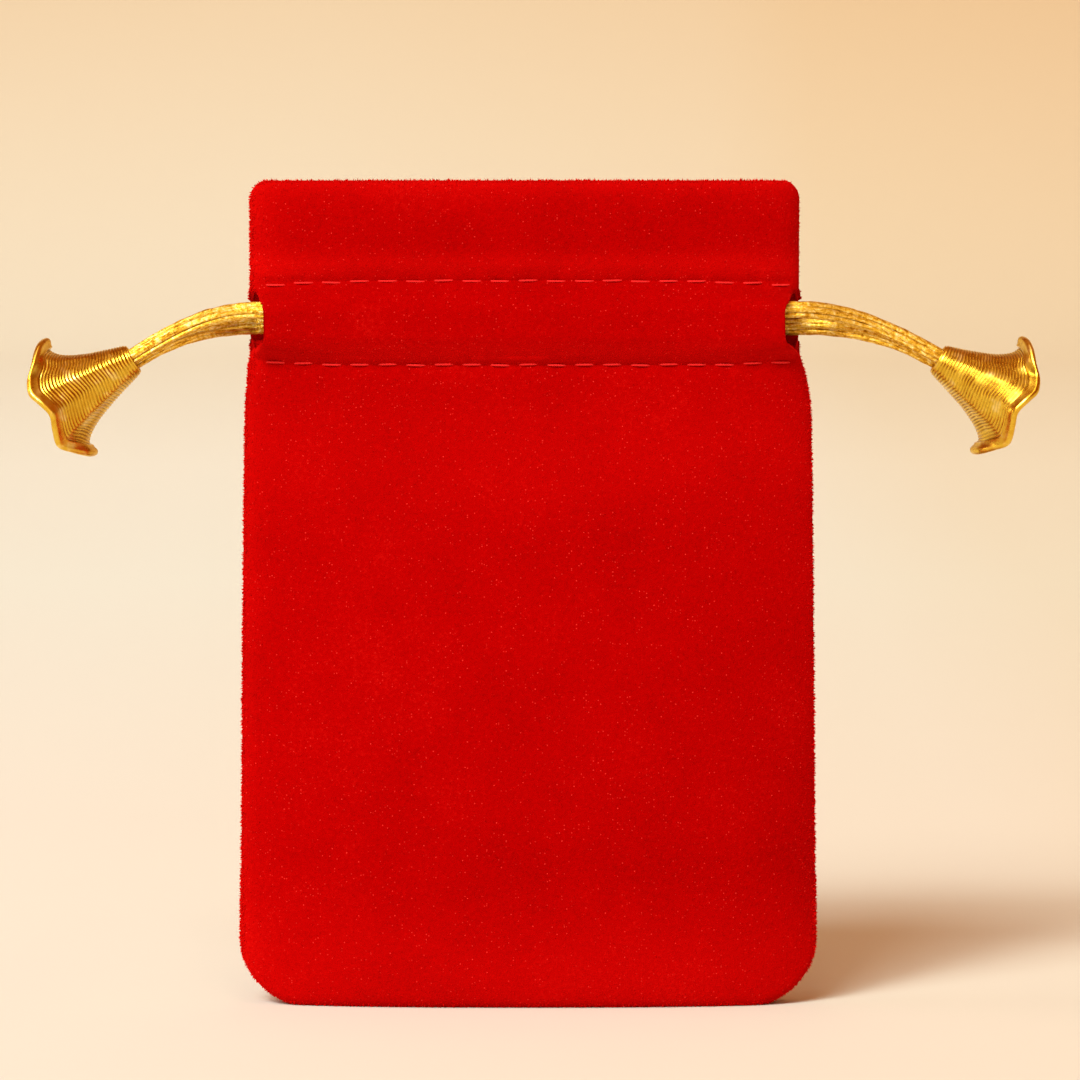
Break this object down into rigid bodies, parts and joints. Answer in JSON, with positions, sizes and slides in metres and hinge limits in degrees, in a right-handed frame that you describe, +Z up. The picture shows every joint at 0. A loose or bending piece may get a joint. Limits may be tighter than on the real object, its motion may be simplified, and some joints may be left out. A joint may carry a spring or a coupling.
{
  "type": "drawstring gift pouch",
  "caption": "Velvet drawstring gift pouch with a stitched channel round the neck, two looped satin cords and a bell-shaped metal end on each cord.",
  "frame": {"origin": "middle of the flat strip that the pouch stands on, at the centre of its width and depth", "axes": "+Z up along the pouch's height, X across its width, the front panel faces -Y"},
  "size_m": [0.2204, 0.0278, 0.18],
  "materials": {
    "velvet": "short cut pile with a soft sheen",
    "sewing_thread": "satin thread",
    "satin_cord": "crinkled metallic satin",
    "bell_gold": "bright gold plating"
  },
  "bodies": {
    "pouch": {"front_panel": "velvet", "back_panel": "velvet", "upper_stitch_front": "sewing_thread", "lower_stitch_front": "sewing_thread", "upper_stitch_back": "sewing_thread", "lower_stitch_back": "sewing_thread", "left_side_seam": "sewing_thread", "right_side_seam": "sewing_thread", "bottom_seam": "sewing_thread"},
    "left_drawstring": {"left_cord": "satin_cord"},
    "right_drawstring": {"right_cord": "satin_cord"},
    "left_bell": {"left_bell": "bell_gold"},
    "right_bell": {"right_bell": "bell_gold"}
  },
  "joints": [
    {"name": "left_drawstring_pull", "type": "slide", "parent": "pouch", "child": "left_drawstring", "axis": [-1, 0, 0], "range_m": [0, 0.046], "deforming": ["front_panel", "back_panel", "upper_stitch_front", "lower_stitch_front", "upper_stitch_back", "lower_stitch_back", "right_side_seam"]},
    {"name": "right_drawstring_pull", "type": "slide", "parent": "pouch", "child": "right_drawstring", "axis": [1, 0, 0], "range_m": [0, 0.046], "deforming": ["left_side_seam"]},
    {"name": "left_bell_turn", "type": "hinge", "parent": "left_drawstring", "child": "left_bell", "pos_m": [-0.086, 0, 0.1412], "axis": [-0.866, 0, -0.5], "continuous": true},
    {"name": "right_bell_turn", "type": "hinge", "parent": "right_drawstring", "child": "right_bell", "pos_m": [0.0893, 0, 0.1412], "axis": [0.866, 0, -0.5], "continuous": true}
  ]
}
